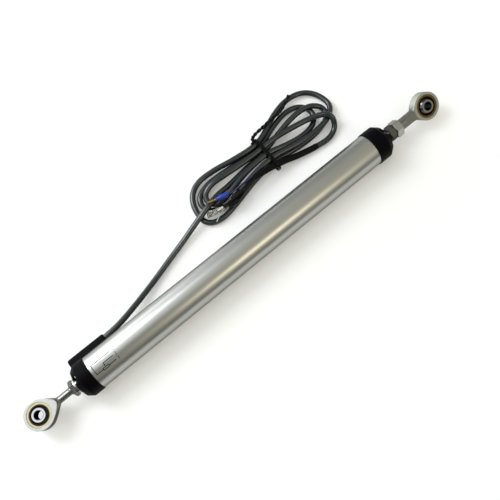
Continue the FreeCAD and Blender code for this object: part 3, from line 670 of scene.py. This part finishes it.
# %% Metals
GLANCING = (0.4, 0.4, 0.4, 1.0)
finishes = {
    # Drawn and clear anodised: pale and satin, with faint streaks along the tube.
    "anodised_aluminium": finish("anodised_aluminium", ("#b2b3b0", "#acadaa"), 1.0, (0.27, 0.35), 0.45,
                                 0.002, stretch=(0.02, 1, 1), patch=30.0, Specular_Tint=GLANCING),
    # Cut and zinc plated: a cloudy grey with soft bright edges.
    "zinc_steel": finish("zinc_plated_steel", ("#7c7e7a", "#6b6c66"), 1.0, (0.2, 0.34), 0.5, 0.012,
                         patch=4.0, edge=0.3, Specular_Tint=GLANCING),
    # Passivated dark: a patchy, sooty grey with little shine.
    "dark_steel": finish("dark_passivated_steel", ("#6a6862", "#4a4945"), 1.0, (0.3, 0.5), 0.4, 0.03,
                         patch=2.0, edge=0.25, Specular_Tint=GLANCING),
    # Pressed from powder and oiled: a warm, finely pitted metal.
    "bronze": finish("sintered_bronze", ("#b8a778", "#9c8a5a"), 1.0, (0.28, 0.45), 0.25, 0.012,
                     patch=2.5, edge=0.2),
    # Turned and nickel plated: smooth and bright, a little warmer than zinc.
    "nickel_brass": finish("nickel_plated_brass", ("#a5a39b", "#98958a"), 1.0, (0.14, 0.24), 0.4, 0.004,
                           edge=0.2),
    # Ground and polished: close to a mirror.
    "polished_steel": finish("polished_steel", ("#d6d8da", "#ced0d2"), 1.0, (0.06, 0.12), 0.3, 0.001),
    # Drawn and tinned: dull silver, dark patches where the tin is thin, and darkened overall as painted
    # shade.
    "tinned_copper": finish("tinned_copper", ("#8f8e84", "#5f5d54"), 1.0, (0.22, 0.4), 0.3, 0.01,
                            patch=1.0),
    # Rolled thin and hard: pale gold with a clean shine.
    "contact_alloy": finish("contact_spring_alloy", ("#d6b878", "#c9a862"), 1.0, (0.18, 0.28), 0.3,
                            0.003),
}
# Tinned strands: the same tin painted lighter than on the pins, as painted light, with random darker
# patches.
painted_light_tin = finish("painted_light_tinned_strand", ("#b9b9b3", "#6f6e67"), 1.0, (0.16, 0.3), 0.3, 0.008,
                    patch=1.2)
# Gilded copper: a brownish gold, patchy where the pliers pressed it.
gilded = finish("gilded_copper", ("#a8916a", "#7d6244"), 1.0, (0.2, 0.34), 0.3, 0.008, patch=1.5)
print("metals", sorted(finishes))

# %% [markdown]
# The plastics differ mostly in how black and how glossy they are. A lower specular level keeps a matt
# moulding black under a bright sky, while the smooth cable jacket shows a long thin highlight.

# %% Plastics and rubber
finishes.update({
    # Moulded with glass fibre: deep black and matt, with a fine grit.
    "black_plastic": finish("glass_filled_nylon", ("#020205", "#040407"), 0.0, (0.45, 0.6), 0.35, 0.012,
                            edge=0.3, Specular_IOR_Level=0.05),
    # Moulded nitrile: dull and soft.
    "black_rubber": finish("nitrile_rubber", ("#0d0d0d", "#141414"), 0.0, (0.6, 0.8), 0.3, 0.02),
    # Woven glass pressed in epoxy: green and half glossy.
    "board_laminate": finish("glass_epoxy_laminate", ("#3f6b4c", "#35603f"), 0.0, (0.35, 0.5), 0.5,
                             0.01),
    # Film with carbon in it: smooth, dark grey.
    "conductive_plastic": finish("conductive_plastic_film", ("#1b1b1c", "#222223"), 0.0, (0.3, 0.4),
                                 0.4, 0.003),
    # Extruded PVC on a core: black with a slight shine.
    "core_insulation": finish("black_core_pvc", ("#060608", "#0b0b0d"), 0.0, (0.3, 0.42), 0.4, 0.006,
                              Specular_IOR_Level=0.15),
    # Moulded acetal: milky, with a waxy shine.
    "white_acetal": finish("moulded_acetal", ("#e4e4df", "#dcdcd6"), 0.0, (0.35, 0.48), 0.4, 0.006),
    # Extruded PVC jacket: dark grey and smooth, with a long thin highlight.
    "cable_jacket": finish("grey_cable_pvc", ("#1a2426", "#151d1f"), 0.0, (0.16, 0.26), 0.5, 0.008,
                           Specular_IOR_Level=0.65),
    # Heat-shrunk polyolefin: black, drawn tight and slightly uneven.
    "shrink_sleeve": finish("shrunk_polyolefin", ("#050506", "#09090a"), 0.0, (0.35, 0.5), 0.6, 0.02,
                            Specular_IOR_Level=0.12),
    # Moulded nylon: a clear deep blue, quite glossy.
    "blue_plastic": finish("blue_ferrule_nylon", ("#14399c", "#0f2c82"), 0.0, (0.22, 0.32), 0.4, 0.006),
    # PVC round a tie wire: black and half glossy.
    "tie_plastic": finish("coated_tie_wire", ("#050506", "#080809"), 0.0, (0.28, 0.4), 0.5, 0.008,
                          Specular_IOR_Level=0.12),
})
# Extruded PVC in the colours of the cores: dark, with the slight shine of the black one.
core_colours = {"blue": finish("blue_core_pvc", ("#0d1846", "#0a1236"), 0.0, (0.3, 0.42), 0.4, 0.006),
                "black": finishes["core_insulation"],
                "brown": finish("brown_core_pvc", ("#160d09", "#100906"), 0.0, (0.3, 0.42), 0.4, 0.006)}
print("finishes", len(finishes))

# %% [markdown]
# Round each ball rings of painted light and shade are laid on the finishes: painted shade in the bore,
# the ground face of the ball, painted shade in the gap beside the sphere, and the outer part of the
# race.
# The heads are plated bright, their sides and faces are painted lighter or darker as light falls on
# them, and a shank is darker. All of it depends on the distance from the bore's axis, or on the distance
# along that axis from the middle of the ball. The two bores lie along axes of their own, so a Mapping
# node takes the point into the frame of the ball, and a ramp darkens the finish there.

# %% Shading by distance from a bore
FRONT_EYE_X = 335.0
FRONT_EYE_ROLL = math.radians(34.0)
EYES = {"rear": ((0.0, 0.0, 0.0), 0.0), "front": ((FRONT_EYE_X * MM, 0.0, 0.0), FRONT_EYE_ROLL)}
REACH = 40.0
AROUND = (1.0, 1.0, 0.0)
ALONG = (0.0, 0.0, 1.0)


def ring_shade(material, eye, rings, way=AROUND):
    """Darkens a finish by distance from a bore: each ring is a distance in mm and the share kept."""
    centre, roll = EYES[eye]
    tree = material.node_tree
    shader = tree.nodes["Principled BSDF"]
    tone = shader.inputs["Base Color"].links[0].from_socket
    place = add(tree, "ShaderNodeTexCoord")
    own = add(tree, "ShaderNodeMapping", {"Location": centre, "Rotation": (roll, 0.0, 0.0)},
              {"Vector": place.outputs["Object"]}, vector_type="TEXTURE")
    flat = add(tree, "ShaderNodeVectorMath", {1: way}, {0: own.outputs["Vector"]},
               operation="MULTIPLY")
    away = add(tree, "ShaderNodeVectorMath", None, {0: flat.outputs["Vector"]}, operation="LENGTH")
    part = add(tree, "ShaderNodeMapRange", {"From Max": REACH * MM}, {"Value": away.outputs["Value"]})
    ramp = add(tree, "ShaderNodeValToRGB", None, {"Fac": part.outputs["Result"]})
    stops = ramp.color_ramp.elements
    while len(stops) < len(rings):
        stops.new(0.5)
    for stop, (distance, share) in zip(stops, rings):
        stop.position = distance / REACH
        stop.color = (share, share, share, 1.0)
    shaded = add(tree, "ShaderNodeMix", {0: 1.0}, {6: tone, 7: ramp.outputs["Color"]},
                 data_type="RGBA", blend_type="MULTIPLY")
    tree.links.new(shaded.outputs[2], shader.inputs["Base Color"])
    return material


print("bores", sorted(EYES))

# %% [markdown]
# With that helper, balls, races and heads get their rings. The radii are those of the CAD model: the
# bore ends at 3 mm, the ball's face at about 4.5 mm, the race at about 8 mm and the head at 10 mm.

# %% Rings round the balls
# Painted shade: each ball is darkened in its bore and beyond its face, and the front ball's face is
# painted darker than the rear's.
BALL_PAINTED_SHADE = {"rear": [(3.0, 0.02), (3.2, 0.5), (4.3, 0.75), (4.6, 0.12)],
              "front": [(3.0, 0.02), (3.2, 0.25), (4.3, 0.4), (4.6, 0.12)]}
# Painted shade: the race is darkened next to the ball and a little at its outer edge.
RACE_PAINTED_SHADE = [(6.2, 0.04), (6.7, 0.15), (7.0, 1.0), (7.9, 1.0), (8.2, 0.5)]
# Painted shade: the rear head is darkened wherever it lies nearer its middle plane than its two faces.
REAR_HEAD_SHADE = [(3.0, 0.42), (3.25, 1.0)]
# Painted light and shade: the front head's sides keep a light tone, and its two faces are darkened.
FRONT_FACE_SHADE = [(3.0, 1.0), (3.25, 0.62), (3.42, 0.62), (3.55, 1.0)]
# The front shank is darker than the head, and its collar a little lighter than the shank.
FRONT_SHANK_RINGS = [(10.0, 1.0), (11.2, 0.42), (23.6, 0.42), (24.4, 0.68)]
# Painted light and shade: one bronze is painted pale on the rear race, as if lit, and dark on the front
# one, as if shaded.
RACE_PAINTED_TONES = {"rear": ("#bdb599", "#a49b7c"), "front": ("#7d6438", "#5f4a28")}
# A dark specular tint leaves the balls' glancing reflection nearly black.
DARK_GLANCING = (0.05, 0.05, 0.05, 1.0)
own_finish = {}
for eye in EYES:
    # Hardened steel, ground and polished: a bright face, painted shade in the bore and at the rim.
    ball = finish(eye + "_ball_steel", ("#d6d8da", "#ced0d2"), 1.0, (0.06, 0.12), 0.3, 0.001,
                  Specular_Tint=DARK_GLANCING)
    own_finish[eye + "_ball"] = ring_shade(ball, eye, BALL_PAINTED_SHADE[eye])
    # Sintered bronze: a warm ring outside, with painted shade beside the ball.
    race = finish(eye + "_race_bronze", RACE_PAINTED_TONES[eye], 1.0, (0.28, 0.45), 0.25, 0.012, patch=2.5,
                  edge=0.2)
    own_finish[eye + "_race"] = ring_shade(race, eye, RACE_PAINTED_SHADE)
# Ground and zinc plated: bright on its two faces, with painted shade on its rim and neck.
ground = finish("ground_zinc_steel_painted_shade", ("#b4b6b1", "#a6a79f"), 1.0, (0.2, 0.34), 0.5, 0.012, patch=4.0,
                edge=0.3, Specular_Tint=GLANCING)
own_finish["rear_rod_end"] = ring_shade(ground, "rear", REAR_HEAD_SHADE, ALONG)
# Forged and zinc plated: cloudy, with sides painted light, faces painted shade and a darker shank.
forged = finish("forged_zinc_steel_painted_light_and_shade", ("#d2d4d0", "#c2c3ba"), 1.0, (0.22, 0.4), 0.55, 0.03, patch=1.6,
                edge=0.3, Specular_Tint=GLANCING)
ring_shade(forged, "front", FRONT_FACE_SHADE, ALONG)
own_finish["front_rod_end"] = ring_shade(forged, "front", FRONT_SHANK_RINGS)
print("ringed finishes", sorted(own_finish))

# %% [markdown]
# A CAD node arrives with a material slot that the model's record names, so its finish is looked up by
# that name, unless the node has a finish of its own. The pieces made above have no slot yet, so their
# finish is put into their data.

# %% Put the finishes on
slot_of = {part["node"]: part["material_slot"] for part in frame["record"]["subparts"]}
for name, node in nodes.items():
    for slot in node.material_slots:
        slot.material = own_finish.get(name, finishes[slot_of[name]])


def wear(piece, material):
    piece.data.materials.clear()
    piece.data.materials.append(material)


wear(cable, finishes["cable_jacket"])
wear(sleeve, finishes["shrink_sleeve"])
wear(pigtail, finishes["shrink_sleeve"])
wear(strands, painted_light_tin)
wear(tie_band, finishes["tie_plastic"])
wear(tie_tail, finishes["tie_plastic"])
wear(printed_symbol, ink)
for colour in core_pieces:
    is_blue = colour == "blue"
    wear(core_pieces[colour], core_colours[colour])
    wear(ferrules[colour], finishes["blue_plastic"] if is_blue else finishes["core_insulation"])
    wear(ferrule_pins[colour], gilded if is_blue else finishes["tinned_copper"])
print("dressed nodes", len(nodes))

# %% [markdown]
# The sensor lies on a white surface. The floor is a wide plane just under it, with a plain pale paint.
# Its paint glows a little for the camera and for reflections, so that it reads as white and still keeps
# the shadow of the sensor.

# %% Floor
FLOOR_LIFT = 0.2
FLOOR_HALF = 2.0
mesh = bmesh.new()
bmesh.ops.create_grid(mesh, x_segments=1, y_segments=1, size=FLOOR_HALF)
bmesh.ops.translate(mesh, vec=(TARGET.x, TARGET.y, FLOOR * MM), verts=mesh.verts[:])
floor = mesh_piece("floor", mesh)
# Rolled wall paint: matt and even.
white_paint = finish("white_paint", ("#e9e9e8", "#e6e6e5"), 0.0, (0.75, 0.85), 3.0, 0.0, patch=200.0)
wear(floor, white_paint)
paint = white_paint.node_tree
ray = add(paint, "ShaderNodeLightPath")
direct = add(paint, "ShaderNodeMath", None,
             {0: ray.outputs["Is Camera Ray"], 1: ray.outputs["Is Glossy Ray"]}, operation="ADD")
seen = add(paint, "ShaderNodeMath", None,
           {0: direct.outputs["Value"], 1: ray.outputs["Is Transmission Ray"]}, operation="ADD")
lift = add(paint, "ShaderNodeMath", {1: FLOOR_LIFT}, {0: seen.outputs["Value"]}, operation="MULTIPLY")
paint_shader = paint.nodes["Principled BSDF"]
paint_shader.inputs["Emission Color"].default_value = (1.0, 1.0, 1.0, 1.0)
paint.links.new(lift.outputs["Value"], paint_shader.inputs["Emission Strength"])
print("floor", floor.name, "at", FLOOR, "mm")

# %% [markdown]
# A satin tube shows its surroundings as bands along its length, so the light is a small room. A broad
# cool window stands toward the rear and the far side, the rear wall is dim, the front of the room is a
# warm grey, and the foot of the near wall is dark. The room is the world's colour by direction: each Map
# Range node says how far a direction points to one side, between a value where that side begins and
# one where it is reached, and the products of two or three of them mark a part of the room.

# %% Room
ROOM_LIGHT = 1.85
WINDOW_TONE = linear("#f9fcff")
NEAR_TONE = linear("#a5a397")
FAR_TONE = linear("#7f807b")
REAR_TONE = linear("#686764")
DARK_TONE = linear("#1c1c1a")
REAR_SIDE = {"From Min": 0.14, "From Max": -0.2}
FAR_SIDE = {"From Min": -0.25, "From Max": 0.15}
ABOVE_SILL = {"From Min": -0.08, "From Max": 0.14}
NEAR_TO_FAR = {"From Min": -0.4, "From Max": 0.9}
NEAR_SIDE = {"From Min": -0.3, "From Max": -0.85}
WALL_FOOT = {"From Min": 0.5, "From Max": 0.1, "To Max": 0.9}
SOFT_EDGE = {"interpolation_type": "SMOOTHSTEP"}

world = bpy.data.worlds.new("studio")
world.use_nodes = True
bpy.context.scene.world = world
room = world.node_tree
look = add(room, "ShaderNodeTexCoord")
axes = add(room, "ShaderNodeSeparateXYZ", None, {"Vector": look.outputs["Generated"]})
to_x, to_y, to_z = [{"Value": axes.outputs[axis]} for axis in "XYZ"]
rearward = add(room, "ShaderNodeMapRange", REAR_SIDE, to_x, **SOFT_EDGE)
sideward = add(room, "ShaderNodeMapRange", FAR_SIDE, to_y, **SOFT_EDGE)
upward = add(room, "ShaderNodeMapRange", ABOVE_SILL, to_z, **SOFT_EDGE)
across = add(room, "ShaderNodeMapRange", NEAR_TO_FAR, to_y)
nearward = add(room, "ShaderNodeMapRange", NEAR_SIDE, to_y, **SOFT_EDGE)
lowness = add(room, "ShaderNodeMapRange", WALL_FOOT, to_z, **SOFT_EDGE)
corner = add(room, "ShaderNodeMath", None,
             {0: rearward.outputs["Result"], 1: sideward.outputs["Result"]}, operation="MULTIPLY")
pane = add(room, "ShaderNodeMath", None,
           {0: corner.outputs["Value"], 1: upward.outputs["Result"]}, operation="MULTIPLY")
skirting = add(room, "ShaderNodeMath", None,
               {0: nearward.outputs["Result"], 1: lowness.outputs["Result"]}, operation="MULTIPLY")
front = add(room, "ShaderNodeMix", {6: NEAR_TONE, 7: FAR_TONE}, {0: across.outputs["Result"]},
            data_type="RGBA")
walls = add(room, "ShaderNodeMix", {7: REAR_TONE},
            {0: rearward.outputs["Result"], 6: front.outputs[2]}, data_type="RGBA")
dimmed = add(room, "ShaderNodeMix", {7: DARK_TONE},
             {0: skirting.outputs["Value"], 6: walls.outputs[2]}, data_type="RGBA")
lit = add(room, "ShaderNodeMix", {7: WINDOW_TONE},
          {0: pane.outputs["Value"], 6: dimmed.outputs[2]}, data_type="RGBA")
background = room.nodes["Background"]
background.inputs["Strength"].default_value = ROOM_LIGHT
room.links.new(lit.outputs[2], background.inputs["Color"])
print("room nodes", len(room.nodes), "light", ROOM_LIGHT)

# %% [markdown]
# Three area lamps add what the soft room lacks. Two panes of the window, one high and one near the
# horizon, give highlights on the cable and the rod ends, and one warm lamp on the near side draws the
# bright streak on the front half of the tube. The Standard view shows colours about as they are written.

# %% Lamps
LAMP_AWAY = 1.0
# A lamp: its aim from the sensor, its two sides in metres, its power in watts and its colour.
LAMPS = {"window_pane": ((-0.32, 0.62, 0.71), (0.3, 0.42), 3.9, "#f8fbff"),
         "low_window": ((-0.36, 0.91, 0.2), (0.7, 0.34), 1.5, "#f8fbff"),
         "warm_lamp": ((0.17, -0.68, 0.71), (0.28, 0.3), 0.9, "#fff3d2")}
for name, (toward, sides, power, colour) in LAMPS.items():
    aim = Vector(toward).normalized()
    lamp_data = bpy.data.lights.new(name, "AREA")
    lamp_data.shape = "RECTANGLE"
    lamp_data.size, lamp_data.size_y = sides
    lamp_data.energy = power
    lamp_data.color = linear(colour)[:3]
    lamp = bpy.data.objects.new(name, lamp_data)
    turn = aim.to_track_quat("Z", "Y").to_matrix().to_4x4()
    lamp.matrix_world = Matrix.Translation(TARGET + aim * LAMP_AWAY) @ turn
    lamp.visible_camera = False
    scene_objects.link(lamp)
bpy.context.scene.view_settings.view_transform = "Standard"
print("lamps", sorted(LAMPS))
